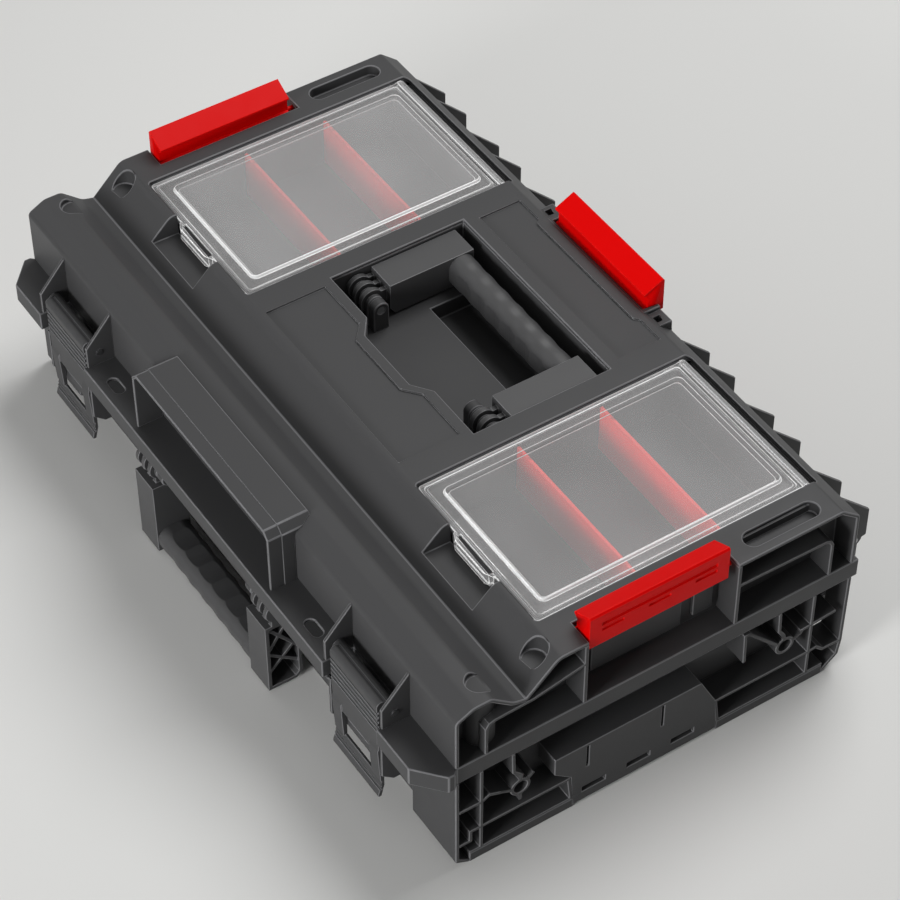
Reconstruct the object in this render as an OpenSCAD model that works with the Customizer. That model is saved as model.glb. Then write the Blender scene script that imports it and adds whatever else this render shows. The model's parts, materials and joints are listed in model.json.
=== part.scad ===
// Stackable tool case: a deep base, a hinged lid with two organiser bins under clear covers,
// a folding top handle, a hanging front handle, two front latches and three stacking clips.
// Millimetres, +Z up, the front faces -Y. The origin is on the floor under the middle of the case.

/* [Case] */
// Width across the side walls
body_w = 579; // [560:1:600]
// Distance from the middle to the front wall
body_front = 164; // [160:0.5:170]
// Distance from the middle to the rear wall
body_back = 161.5; // [158:0.5:166]
// Height of the line where lid and base part
parting_z = 91.7; // [88:0.1:110]
// Height of the lid's top deck
deck_z = 167.5; // [164:0.5:190]
// Thickness of the moulded walls
wall = 3; // [2.4:0.1:3.6]
// Thickness of the ribs and gusset plates
rib_t = 2.6; // [2:0.1:3.4]
// Depth of the open rib cells on both sides
cell_depth = 20; // [16:0.5:24]
// Gap between pieces that move past each other
gap = 0.3; // [0.2:0.05:0.5]

/* [Lid profile] */
// Height of the flange band round the lid
flange_h = 16; // [12:0.5:20]
// Reach of the flange in front of the front wall
flange_front = 25; // [22:0.5:28]
// Reach of the flange behind the rear wall
flange_back = 4.5; // [3:0.5:8]
// Reach of the corner ears past the side walls
ear_reach = 3; // [1:0.5:4]
// Height of the edge where the front wall turns into the brow
brow_z = 154; // [150:0.5:156]
// Height of the brow's flat crest
crest_z = 161; // [158:0.5:164]
// Distance from the front wall to the crest, and length of the crest
crest_run = 14; // [10:0.5:16]
// Distance from the middle to the foot of the brow
valley_y = 110; // [105:0.5:116]
// Height of the valley behind the brow
valley_z = 143.5; // [140:0.5:148]
// Distance from the middle to the front edge of the top deck
deck_front = 85; // [83:0.5:88]
// Distance from the middle to the rear edge of the top deck
deck_back = 146; // [144:0.5:148]
// Drop of the bevel behind the deck
rear_bevel = 13; // [9:0.5:15]

/* [Organiser] */
// Distance from the middle to the inner side of a bin
bin_in = 114; // [112:0.5:120]
// Distance from the outer side of a bin to the side wall
bin_edge = 36.5; // [35:0.5:50]
// Distance from the middle to the front side of a bin
bin_front = 75; // [70:0.5:76]
// Distance from the middle to the rear side of a bin
bin_back = 136; // [130:0.5:137]
// Height of a bin's floor
bin_floor_z = 118; // [112:0.5:130]
// Wall thickness of a bin
bin_wall = 2; // [1.6:0.1:2.4]
// Distance from the middle to the rear divider
divider_rear = 72.5; // [66:0.5:78]
// Distance from the middle to the front divider
divider_front = 3; // [-4:0.5:8]
// Thickness of a divider
divider_t = 2.4; // [2:0.1:3]
// Height of a divider above the bin's floor
divider_h = 41; // [30:0.5:42]

/* [Covers] */
// Margin of a clear cover round its bin
cover_margin = 2; // [1.5:0.5:3]
// Width of the flat border round a cover's raised panel
cover_border = 12; // [8:0.5:16]
// Thickness of a cover
cover_t = 2.5; // [2:0.1:3]
// Rise of the raised panel over the border
panel_rise = 2.2; // [1.5:0.1:2.6]
// Radius of a cover's hinge roll
roll_r = 3.4; // [3:0.1:3.8]
// Radius of a cover's hinge pin
cover_pin_r = 1.5; // [1.2:0.1:1.8]
// Width of a cover's front tab
tab_w = 48; // [40:1:54]

/* [Handles] */
// Half the width across the arms of a handle
handle_half = 91.5; // [88:0.5:92]
// Width of an arm
arm_w = 25.5; // [24:0.5:27]
// Depth of a handle from its outer to its inner face
handle_depth = 28; // [26:0.5:29]
// Distance from the outer face to the pivot
pivot_depth = 11; // [10:0.5:12]
// Distance from the pivot to the near end of the arms
arm_start = 12.5; // [12:0.5:14]
// Distance from the pivot to the far edge of the top handle
top_reach = 85; // [80:0.5:88]
// Distance from the pivot to the far edge of the front handle
front_reach = 78.5; // [72:0.5:79]
// Radius of the knuckle rings
knuckle_r = 9.5; // [8.5:0.1:10]
// Radius of the handle pins
handle_pin_r = 3; // [2.5:0.1:3.5]
// Width of the grip in the direction of the arms
grip_w = 21; // [18:0.5:24]
// Height of the top handle's pivot
top_pivot_z = 152; // [150:0.5:154]
// Height of the front handle's pivot
front_pivot_z = 81; // [80:0.5:81.5]
// Distance from the middle to the front handle's pivot
front_pivot_y = 179.75; // [176:0.25:182]

/* [Latches] */
// Distance from the middle of a latch to the side wall
latch_edge = 90; // [84:0.5:96]
// Width of a latch
latch_w = 58; // [50:1:60]
// Distance between the gusset plates beside a latch, middle to middle
gusset_gap = 70; // [68:0.5:76]
// Distance from the middle to a latch's pivot
latch_pivot_y = 176; // [175:0.25:177]
// Height of a latch's pivot
latch_pivot_z = 119; // [117:0.5:121]
// Height of a latch's lower edge
latch_bottom_z = 27.5; // [24:0.5:34]
// Radius of a latch pin
latch_pin_r = 2.5; // [2:0.1:3]

/* [Stacking clips] */
// Length of a clip
clip_len = 112; // [100:1:114]
// Width of a clip
clip_w = 17.5; // [15:0.5:18]
// Height of a clip's pivot
clip_pivot_z = 160.5; // [159:0.5:162]
// Height of a clip over its pivot
clip_rise = 26.5; // [22:0.5:30]
// Distance that a side clip sits in front of the middle
clip_shift = 4; // [2:0.5:5]
// Radius of a clip rod
clip_rod_r = 2; // [1.6:0.1:2.4]

/* [Hinge] */
// Distance from the middle to the hinge pin
hinge_y = 180; // [178:0.5:181]
// Height of the hinge pin above the parting line
hinge_rise = 6.3; // [5:0.1:8]
// Radius of the hinge pins
hinge_pin_r = 2.5; // [2:0.1:3]
// Radius of the knuckles round the hinge pins
hinge_knuckle_r = 7; // [6:0.1:7.5]
// Reach of the lid's hinge ears behind the pin
hinge_ear_reach = 10.75; // [9:0.25:12]
// Distance from the side wall to the middle of the outer base knuckle
hinge_edge = 38.2; // [36:0.1:44]
// Distance from the middle to the inner base knuckle
hinge_first = 98.5; // [96:0.5:102]
// Width of a base knuckle
knuckle_w = 26; // [20:0.5:27]

/* [Base] */
// Distance from the middle to the outside of the tub's front wall
tub_front = 146; // [140:0.5:148]
// Distance from the middle to the outside of the tub's rear wall
tub_back = 150; // [146:0.5:152]
// Height of the tub's underside
tub_floor_z = 9; // [8:0.5:12]
// Width of the rim that carries the seal
rim_w = 9; // [8:0.5:10]
// Height of the ledge over the middle of each side
ledge_z = 61; // [56:0.5:66]
// Height of the ribs over the feet
foot_rib_z = 32.3; // [28:0.5:36]
// Place of the front foot's rear end in front of the middle
foot_front_end = 69; // [64:0.5:72]
// Place of the rear foot's front end behind the middle
foot_back_end = 51.5; // [48:0.5:58]
// Radius of the round recesses by the deck's front corners
recess_r = 9; // [7:0.5:9.5]

/* [Hidden] */

$fn = 48;
eps = 0.01;
plastic = [0.31, 0.31, 0.32];
plastic_dark = [0.24, 0.24, 0.25];
handle_grey = [0.28, 0.28, 0.29];
clip_red = [0.83, 0.08, 0.08];
clear = [0.75, 0.77, 0.8, 0.5];
steel = [0.7, 0.7, 0.72];
rubber = [0.1, 0.1, 0.1];

// Derived sizes of the shell
half_w = body_w / 2;
cell_wall_x = half_w - cell_depth;
flange_top_z = parting_z + flange_h;
rim_z = parting_z - gap;
bore_fit = 0.05;

// Derived sizes of the hinge
hinge_z = parting_z + hinge_rise;
hinge_stations = [hinge_first, (hinge_first + half_w - hinge_edge) / 2, half_w - hinge_edge];
ear_spread = knuckle_w / 2 + rib_t / 2 + 0.8;

// Derived places of the latches and bins
latch_x = half_w - latch_edge;
bin_out = half_w - bin_edge;

// Derived sizes of the cover openings
cover_in = bin_in - cover_margin;
cover_out = bin_out + cover_margin;
cover_front = bin_front + 3.7;
roll_y = bin_back + 5.9;
roll_z = deck_z - 5.1;
cover_seat_z = deck_z - 5.2;
opening_back = roll_y + roll_r + 5.2;
tab_x = (bin_in + bin_out) / 2;

// Derived sizes of the handles
well_half = handle_half + 1.5;
well_back = 94;
well_front = 20;
well_floor_z = top_pivot_z + pivot_depth - handle_depth - 2;
trough_floor_z = well_floor_z - 14;
top_pivot_y = 0.5;
arm_in = handle_half - arm_w;
ring_n = 3;
ring_t = 4;
ring_pitch = arm_w / ring_n;
plate_r = knuckle_r - 3;

// Derived sizes of the clips
clip_mid_y = -clip_shift;
clip_bay_front = clip_mid_y - clip_len / 2 - 1 - wall;
clip_bay_back = clip_len / 2 + 6;
post_front_y = clip_bay_front + wall / 2;
post_back_y = clip_bay_back - wall / 2;
pocket_floor_z = clip_pivot_z - 10;
pocket_bottom_z = pocket_floor_z - wall;
side_clip_u = half_w - 2 - clip_w;
rear_clip_u = body_back + 5.8 - clip_w;

// Turns a (y, z) outline into a solid that runs along X
module along_x(x0, x1) {
    translate([x0, 0, 0]) rotate([90, 0, 90]) linear_extrude(x1 - x0) children();
}

// Turns an (x, z) outline into a solid that runs along Y
module along_y(y0, y1) {
    translate([0, y1, 0]) rotate([90, 0, 0]) linear_extrude(y1 - y0) children();
}

// A box between two corners
module block(low, high) {
    translate(low) cube(high - low);
}

module both_sides() {
    children();
    mirror([1, 0, 0]) children();
}

// A flat rectangle between two corners, with round corners
module round_rect(low, high, r) {
    translate([low[0] + r, low[1]]) square([high[0] - low[0] - 2 * r, high[1] - low[1]]);
    translate([low[0], low[1] + r]) square([high[0] - low[0], high[1] - low[1] - 2 * r]);
    for (x = [low[0] + r, high[0] - r], y = [low[1] + r, high[1] - r])
        translate([x, y]) circle(r);
}

// A flat slot with round ends, long in Y
module slot_y(w, l) {
    square([w, l - w], center = true);
    for (s = [-1, 1]) translate([0, s * (l - w) / 2]) circle(w / 2);
}

// A flat rib of even width along a path of points, with mitred bends
module rib_path(points, t)
    polygon(concat(inset(points, t / 2), reversed(inset(points, -t / 2))));

module ring(centre, r_out, r_in) {
    translate(centre) difference() {
        circle(r_out);
        circle(r_in);
    }
}

// The point where two lines cross, each given by a point and a direction
function line_hit(p, d, q, e) =
    p + d * ((q[0] - p[0]) * e[1] - (q[1] - p[1]) * e[0]) / (d[0] * e[1] - d[1] * e[0]);
function right_of(d) = [d[1], -d[0]] / norm(d);
function reversed(list) = [for (i = [len(list) - 1 : -1 : 0]) list[i]];

// The same path moved to its right by t
function inset(path, t) = [for (i = [0 : len(path) - 1])
    let (before = path[max(i, 1)] - path[max(i, 1) - 1],
         after = path[min(i, len(path) - 2) + 1] - path[min(i, len(path) - 2)])
    i == 0 ? path[0] + t * right_of(after)
    : i == len(path) - 1 ? path[i] + t * right_of(before)
    : line_hit(path[i] + t * right_of(before), before, path[i] + t * right_of(after), after)];

// The same for a closed outline that runs clockwise
function inset_loop(loop, t) = [for (i = [0 : len(loop) - 1])
    let (before = loop[i] - loop[(i + len(loop) - 1) % len(loop)],
         after = loop[(i + 1) % len(loop)] - loop[i])
    line_hit(loop[i] + t * right_of(before), before, loop[i] + t * right_of(after), after)];

// The arc of radius r that rounds the corner at b between a and c
function corner_arc(a, b, c, r) = r == 0 ? [b] :
    let (d = (a - b) / norm(a - b), e = (c - b) / norm(c - b), half = acos(d * e) / 2,
         m = b + (d + e) / norm(d + e) * r / sin(half), p = b + d * r / tan(half) - m,
         q = b + e * r / tan(half) - m, start = atan2(p[1], p[0]),
         turn = atan2(p[0] * q[1] - p[1] * q[0], p * q), steps = max(2, ceil(abs(turn) / 10)))
    [for (i = [0 : steps]) m + r * [cos(start + turn * i / steps), sin(start + turn * i / steps)]];

// An open path with its corners rounded, one radius for each point
function rounded(path, radii) = [for (i = [0 : len(path) - 1])
    each (i == 0 || i == len(path) - 1 ? [path[i]]
        : corner_arc(path[i - 1], path[i], path[i + 1], radii[i]))];

// Outside of the lid in (y, z), from the foot of the front wall over the deck to the rear wall
lid_path = rounded([
    [-body_front, flange_top_z],
    [-body_front, brow_z],
    [-body_front + crest_run, crest_z],
    [-body_front + 2 * crest_run, crest_z],
    [-valley_y - 9, valley_z + 2.5],
    [-valley_y, valley_z],
    [-deck_front, deck_z],
    [deck_back, deck_z],
    [body_back, deck_z - rear_bevel],
    [body_back, flange_top_z]],
    [0, 5, 10, 8, 12, 0, 10, 4, 4, 0]);
lid_inner = inset(lid_path, wall);
// Heights at which the front wall turns into the brow and the rear bevel into the rear wall
brow_foot_z = lid_path[1][1];
bevel_foot_z = lid_path[len(lid_path) - 2][1];

// The clip's outline, u outward from its inner face and v up from its pivot: a slanted top that
// overhangs a hollow inner side, and a tall outer wall
clip_pivot_u = clip_w / 2;
clip_barrel_r = clip_rod_r + 2.4;
clip_lip = 2.8;
clip_bead = [3.4, 1.6];
clip_outline = [[0, clip_rise - 9.5], [0, clip_rise - 8], [clip_w - 1.5, clip_rise],
    [clip_w, clip_rise - 1.5], [clip_w, -clip_lip], [clip_w - 3.5, -clip_lip],
    [clip_pivot_u + 2, -clip_barrel_r + 0.6], [clip_pivot_u - 2, -clip_barrel_r + 0.6],
    [clip_bead[0], 0], [clip_bead[0], clip_rise - 12]];

// Lid

module clip_pocket() {
    // Pocket behind a side clip, let into the deck's edge
    difference() {
        block([side_clip_u - 0.8 - wall, clip_bay_front, pocket_bottom_z],
            [cell_wall_x, clip_bay_back, deck_z - 1]);
        side_clip_opening();
    }
}

// Opening in the deck's edge for a side clip
module side_clip_opening() block([side_clip_u - 0.8, clip_bay_front + wall, pocket_floor_z],
    [half_w + 1, clip_bay_back - wall, deck_z + 5]);

module rear_clip_pocket() {
    difference() {
        block([-clip_len / 2 - 1 - wall, rear_clip_u - 0.8 - wall, pocket_bottom_z],
            [clip_len / 2 + 1 + wall, body_back, deck_z - 1]);
        translate([0, rear_clip_u + clip_pivot_u, clip_pivot_z]) rotate([0, 90, 0])
            cylinder(h = clip_len + 7, r = clip_rod_r + bore_fit, center = true);
        rear_clip_opening();
    }
}

module rear_clip_opening() block([-clip_len / 2 - 1, rear_clip_u - 0.8, pocket_floor_z],
    [clip_len / 2 + 1, body_back + 10, deck_z + 5]);

// Outline of the handle well in plan, grown by g
module well_outline(g) {
    translate([-well_half - g, -well_front - g])
        square([2 * (well_half + g), well_back + well_front + 2 * g]);
    polygon([[-44 - g, -well_front], [-29 - g / 2, -well_front - 11 - g],
        [29 + g / 2, -well_front - 11 - g], [44 + g, -well_front]]);
}

// Shallow panels in the deck before and behind the well
module deck_panels() {
    panel_half = well_half - 5;
    ridge_w = 8;
    polygon([[-panel_half, -deck_front + 7], [panel_half, -deck_front + 7],
        [panel_half, -well_front - ridge_w], [42, -well_front - ridge_w],
        [29, -well_front - 11 - ridge_w], [-29, -well_front - 11 - ridge_w],
        [-42, -well_front - ridge_w], [-panel_half, -well_front - ridge_w]]);
    polygon([[-panel_half, well_back + 11], [panel_half, well_back + 11],
        [panel_half, deck_back - 5], [64, deck_back - 5], [60, deck_back - 9],
        [-60, deck_back - 9], [-64, deck_back - 5], [-panel_half, deck_back - 5]]);
}

module cover_opening() {
    round_rect([cover_in - 1, -cover_front - 1], [cover_out + 1, opening_back], 3);
}

finger_slot_x = half_w - 14.5;
finger_slot_y = 104.5;
finger_slot_w = 14;
finger_slot_l = 61;
recess_depth = 9;

recess_x = half_w - 17.5;
crest_recess = [recess_x, -body_front + 29];
crest_recess_z = crest_z - 5;
hill_recess = [recess_x, -deck_front - 7];
hill_recess_z = deck_z - 14;

// A hollow column under the crest and a cup under the hill, each round a recess
module recess_supports() intersection() {
    along_x(0, half_w) polygon(lid_path);
    union() {
        difference() {
            translate([crest_recess[0], crest_recess[1], flange_top_z]) cylinder(h = 80, r = recess_r + 2);
            translate([crest_recess[0], crest_recess[1], 0]) cylinder(h = crest_recess_z - 2, r = recess_r);
            // The column only stands outside the inner side wall
            block([0, -body_front, 0], [cell_wall_x - wall / 2, 0, crest_recess_z - 2]);
        }
        translate([hill_recess[0], hill_recess[1], hill_recess_z - 2]) cylinder(h = 40, r = recess_r + 2);
    }
}

tab_pocket_half = tab_w / 2 + 6;

module lid_shell() color(plastic) difference() {
    union() {
        difference() {
            along_x(-half_w, half_w) polygon(concat(lid_path, reversed(lid_inner)));
            both_sides() {
                // Openings for the cover and the side clip
                translate([0, 0, deck_z - 12]) linear_extrude(13) cover_opening();
                side_clip_opening();
                // Finger slot in the deck's edge
                translate([finger_slot_x, finger_slot_y, deck_z - wall - 1]) linear_extrude(wall + 2)
                    slot_y(finger_slot_w, finger_slot_l);
                // Recess under the cover's tab
                block([tab_x - tab_pocket_half, -deck_front - 16, valley_z + 6],
                    [tab_x + tab_pocket_half, -cover_front, deck_z + 1]);
            }
            translate([0, 0, deck_z - 12]) linear_extrude(13) well_outline(0);
            rear_clip_opening();
            translate([0, 0, deck_z - 1.8]) linear_extrude(5) deck_panels();
        }
        // Inner side walls behind the rib cells
        both_sides() along_x(cell_wall_x - wall, cell_wall_x) difference() {
            polygon(concat([[-body_front + wall, flange_top_z]],
                [for (i = [1 : len(lid_inner) - 2]) lid_inner[i]],
                [[body_back - wall, flange_top_z]]));
            translate([clip_bay_front, pocket_floor_z])
                square([clip_bay_back - clip_bay_front, 40]);
        }
        both_sides() {
            clip_pocket();
            recess_supports();
            // Cup of the finger slot
            translate([finger_slot_x, finger_slot_y, deck_z - recess_depth - 2])
                difference() {
                    linear_extrude(recess_depth + 2 - wall + eps)
                        slot_y(finger_slot_w + 4, finger_slot_l + 4);
                    translate([0, 0, 2]) linear_extrude(recess_depth)
                        slot_y(finger_slot_w, finger_slot_l);
                }
            // Cup under the cover's tab
            intersection() {
                along_x(tab_x - tab_pocket_half - 2, tab_x + tab_pocket_half + 2)
                    polygon(concat([[-body_front + wall, flange_top_z]], lid_path,
                        [[-deck_front + 4, flange_top_z]]));
                difference() {
                    block([tab_x - tab_pocket_half - 2, -deck_front - 18, valley_z + 4],
                        [tab_x + tab_pocket_half + 2, -cover_front, deck_z - wall]);
                    block([tab_x - tab_pocket_half, -deck_front - 16, valley_z + 6],
                        [tab_x + tab_pocket_half, -cover_front + 1, deck_z + 1]);
                }
            }
        }
        rear_clip_pocket();
    }
    // Round recesses by the front corners, and the square hole in the rear bevel
    both_sides() {
        bracket_hole();
        translate([crest_recess[0], crest_recess[1], crest_recess_z]) cylinder(h = 20, r = recess_r);
        translate([hill_recess[0], hill_recess[1], hill_recess_z]) cylinder(h = 30, r = recess_r);
    }
}

// Plan of the lid flange, drawn in by t, with the latch bays cut out
module flange_plan(t) {
    chamfer = 18;
    front = body_front + flange_front;
    difference() {
        polygon([[-half_w + 17.5, -front + t], [half_w - 17.5, -front + t],
            [half_w + ear_reach - t, -front + chamfer], [half_w + ear_reach - t, -front + chamfer + 5],
            [half_w - t, -front + chamfer + 8], [half_w - t, body_back + flange_back - t],
            [-half_w + t, body_back + flange_back - t], [-half_w + t, -front + chamfer + 8],
            [-half_w - ear_reach + t, -front + chamfer + 5], [-half_w - ear_reach + t, -front + chamfer]]);
        both_sides() translate([latch_x - gusset_gap / 2 + rib_t / 2 - t, -front - 1])
            square([gusset_gap - rib_t + 2 * t, flange_front + 1 + t]);
    }
}

// Plan of the opening inside the seal skirt, grown by g
module seal_opening(g) {
    round_rect([-cell_wall_x + wall - g, -tub_front - g], [cell_wall_x - wall + g, tub_back + g], 6 + g);
}

module lid_flange() color(plastic) difference() {
    translate([0, 0, parting_z]) linear_extrude(flange_h) difference() {
        flange_plan(0);
        seal_opening(0);
    }
    translate([0, 0, parting_z - 1]) linear_extrude(flange_h + 1 - wall) difference() {
        flange_plan(wall);
        seal_opening(wall);
    }
    // Slots through the front of the flange
    both_sides() translate([137, -body_front - flange_front / 2 - 1, flange_top_z - wall - 1])
        linear_extrude(wall + 2) rotate(90) slot_y(8, 17);
}

module lid_side() {
    brace_z = valley_z + 2;
    valley_brace_z = valley_z - wall - rib_t;
    front_y = -body_front + 24;
    rear_y = deck_back - 6;
    difference() {
        along_x(cell_wall_x, half_w) {
            // Rib round the front cell, under the valley
            rib_path([[front_y, flange_top_z], [front_y, valley_brace_z - 5.5], [front_y + 2.5, valley_brace_z - 1.5],
                [front_y + 7, valley_brace_z], [-valley_y + 7, valley_brace_z + 1], [post_front_y, brace_z + 1.5]], rib_t);
            // Rib round the rear cell
            rib_path([[post_back_y, brace_z], [rear_y - 6, brace_z - 2], [rear_y - 2, brace_z - 4],
                [rear_y, brace_z - 8], [rear_y, flange_top_z]], rib_t);
        }
        // The rib stops on the column under the crest
        translate([crest_recess[0], crest_recess[1], 0]) cylinder(h = 400, r = recess_r + 2);
    }
    difference() {
        along_x(cell_wall_x, half_w) {
            rib_path([[post_front_y, flange_top_z], [post_front_y, deck_z - wall]], wall);
            rib_path([[post_back_y, flange_top_z], [post_back_y, deck_z - wall]], wall);
        }
        // Holes for the clip rod
        translate([side_clip_u + clip_pivot_u, 0, clip_pivot_z]) rotate([90, 0, 0])
            cylinder(h = 400, r = clip_rod_r + bore_fit, center = true);
    }
    // Inner step and post in the clip bay
    block([cell_wall_x, post_front_y + 16, flange_top_z + 4],
        [cell_wall_x + 3, post_back_y - 34, pocket_bottom_z - gap]);
    block([cell_wall_x, post_back_y - 24, flange_top_z + 7],
        [cell_wall_x + 3, post_back_y - 8, pocket_bottom_z - gap]);
}

module lid_side_left() color(plastic) mirror([1, 0, 0]) lid_side();
module lid_side_right() color(plastic) lid_side();

// Hood over the front handle: a canopy that is open to the front
hood_half = 93.9;
hood_front = body_front + 21;
hood_z = 163.5;

hood_step_y = -hood_front + 11;

module hood_section(t, foot_z) {
    bevel = 6;
    polygon([[-hood_half + t, foot_z], [-hood_half + t, hood_z - bevel - t * 0.4],
        [-hood_half + bevel + t * 0.4, hood_z - t], [hood_half - bevel - t * 0.4, hood_z - t],
        [hood_half - t, hood_z - bevel - t * 0.4], [hood_half - t, foot_z]]);
}

module lid_hood() color(plastic) difference() {
    union() {
        along_y(-hood_front, hood_step_y) hood_section(0.6, flange_top_z);
        along_y(hood_step_y, -body_front + crest_run) hood_section(0, flange_top_z);
    }
    along_y(-hood_front - 1, -body_front + crest_run + 1) hood_section(wall, flange_top_z - 1);
    // The hood ends on the outside of the front wall and brow
    along_x(-half_w, half_w) polygon(lid_path);
}

module lid_gussets() color(plastic) both_sides() for (s = [-1, 1])
    translate([latch_x + s * gusset_gap / 2, 0, 0]) difference() {
        along_x(-rib_t / 2, rib_t / 2) polygon([[-body_front, flange_top_z], [-body_front, brow_foot_z],
            [-body_front - 22, latch_pivot_z + 7], [-body_front - 22, flange_top_z]]);
        translate([0, -latch_pivot_y, latch_pivot_z]) rotate([0, 90, 0])
            cylinder(h = 20, r = latch_pin_r + bore_fit, center = true);
    }

module lid_hinge_ears() color(plastic) both_sides()
    for (station = hinge_stations, s = [-1, 1])
        translate([station + s * ear_spread, 0, 0]) difference() {
            along_x(-rib_t / 2, rib_t / 2) {
                polygon([[body_back, flange_top_z], [body_back, bevel_foot_z - 0.3],
                    [hinge_y + hinge_ear_reach, hinge_z + 25.5], [hinge_y + hinge_ear_reach, hinge_z],
                    [hinge_y + 6.5, hinge_z - 1], [hinge_y - hinge_knuckle_r + 1, hinge_z],
                    [hinge_y - hinge_knuckle_r - 2, flange_top_z]]);
                translate([hinge_y, hinge_z]) circle(hinge_knuckle_r);
            }
            translate([0, hinge_y, hinge_z]) rotate([0, 90, 0])
                cylinder(h = 20, r = hinge_pin_r + bore_fit, center = true);
        }

// Wedges with a square hole on the rear bevel, beside the rear clip
bracket_in = clip_len / 2 + 1 + wall;
bracket_out = bracket_in + 15;

module bracket_hole() block([bracket_in + 5, body_back - 10.5, deck_z - 40],
    [bracket_out - 4, body_back - 5, deck_z + 10]);

module rear_clip_brackets() color(plastic) both_sides() difference() {
    block([bracket_in, body_back - 12, deck_z - rear_bevel - 8], [bracket_out, body_back, clip_pivot_z + 3.5]);
    along_x(-half_w, half_w) polygon(lid_path);
    bracket_hole();
}

// An organiser bin with its seat for the clear cover
module bin() {
    intersection() {
        along_x(0, cell_wall_x - wall) polygon(concat([[-body_front + wall, flange_top_z - 20]],
            [for (i = [1 : len(lid_inner) - 2]) lid_inner[i]],
            [[body_back - wall, flange_top_z - 20]]));
        difference() {
            union() {
                block([cover_in - 3, -cover_front - 3, cover_seat_z - wall],
                    [cover_out + 3, opening_back + 2, deck_z]);
                block([bin_in - bin_wall, -bin_front - bin_wall, bin_floor_z - bin_wall],
                    [bin_out + bin_wall, bin_back + bin_wall, cover_seat_z - 1]);
                block([bin_in - bin_wall, bin_back, roll_z - roll_r - 3],
                    [bin_out + bin_wall, opening_back + 2, cover_seat_z - 1]);
            }
            translate([0, 0, cover_seat_z]) linear_extrude(20) cover_opening();
            // Trough for the hinge roll
            block([cover_in - 1, roll_y - roll_r - 1, roll_z - roll_r - 0.6],
                [cover_out + 1, opening_back, deck_z]);
            translate([0, 0, bin_floor_z]) linear_extrude(80)
                round_rect([bin_in, -bin_front], [bin_out, bin_back], 4);
            // Grooves for the dividers
            for (y = [divider_front, divider_rear]) block([bin_in - 1, y - divider_t / 2 - 0.1, bin_floor_z],
                [bin_out + 1, y + divider_t / 2 + 0.1, deck_z + 10]);
            // Room for the cover's tab and the cup round it
            block([tab_x - tab_w / 2 - 1, -cover_front - 4, cover_seat_z - 9],
                [tab_x + tab_w / 2 + 1, -cover_front + 1.5, deck_z]);
            block([tab_x - tab_pocket_half - 2, -cover_front - 4, 0],
                [tab_x + tab_pocket_half + 2, -cover_front, deck_z + 1]);
            translate([0, roll_y, roll_z]) rotate([0, 90, 0])
                cylinder(h = 600, r = cover_pin_r + bore_fit);
        }
    }
}

module bin_left() color(plastic) mirror([1, 0, 0]) bin();
module bin_right() color(plastic) bin();

module divider(y) block([bin_in - 0.8, y - divider_t / 2, bin_floor_z],
    [bin_out + 0.8, y + divider_t / 2, bin_floor_z + divider_h]);

module divider_left_front() color(clip_red) mirror([1, 0, 0]) divider(divider_front);
module divider_left_rear() color(clip_red) mirror([1, 0, 0]) divider(divider_rear);
module divider_right_front() color(clip_red) divider(divider_front);
module divider_right_rear() color(clip_red) divider(divider_rear);

trough_half = 57;
trough_front = 42;

module handle_well() color(plastic) difference() {
    union() {
        translate([0, 0, well_floor_z - 2.5]) linear_extrude(deck_z - wall - well_floor_z + 2.5)
            well_outline(2.5);
        block([-trough_half - 2.5, trough_front - 2.5, trough_floor_z - 2.5],
            [trough_half + 2.5, well_back, well_floor_z]);
    }
    translate([0, 0, well_floor_z]) linear_extrude(60) well_outline(0);
    block([-trough_half, trough_front, trough_floor_z], [trough_half, well_back - 2.5, well_floor_z + 1]);
}

// Plates that hold a handle's knuckle rings, along X beside the arm's rings.
// The pivot is the local origin and the arms lie towards local +Y.
module bracket_plates(foot) {
    for (i = [0 : ring_n - 1]) {
        x = arm_in + i * ring_pitch;
        difference() {
            along_x(x + gap, x + ring_pitch - ring_t - gap) {
                circle(plate_r);
                polygon(foot);
            }
            rotate([0, 90, 0]) cylinder(h = 200, r = handle_pin_r + bore_fit);
        }
    }
    // Thick inner cheek with the pin's end
    difference() {
        along_x(arm_in - 8, arm_in - gap) {
            circle(plate_r);
            polygon(foot);
        }
        rotate([0, 90, 0]) cylinder(h = 200, r = handle_pin_r + bore_fit);
    }
}

module top_handle_brackets() color(plastic) both_sides()
    translate([0, top_pivot_y, top_pivot_z])
        bracket_plates([[-plate_r, 0], [-plate_r, well_floor_z - top_pivot_z],
            [plate_r, well_floor_z - top_pivot_z], [plate_r, 0]]);

module handle_pins(y, z) both_sides() translate([0, y, z]) rotate([0, 90, 0])
    translate([0, 0, arm_in - 7.5]) cylinder(h = arm_w + 7, r = handle_pin_r);

module top_handle_pins() color(steel) handle_pins(top_pivot_y, top_pivot_z);
module front_handle_pins() color(steel) handle_pins(-front_pivot_y, front_pivot_z);

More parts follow.
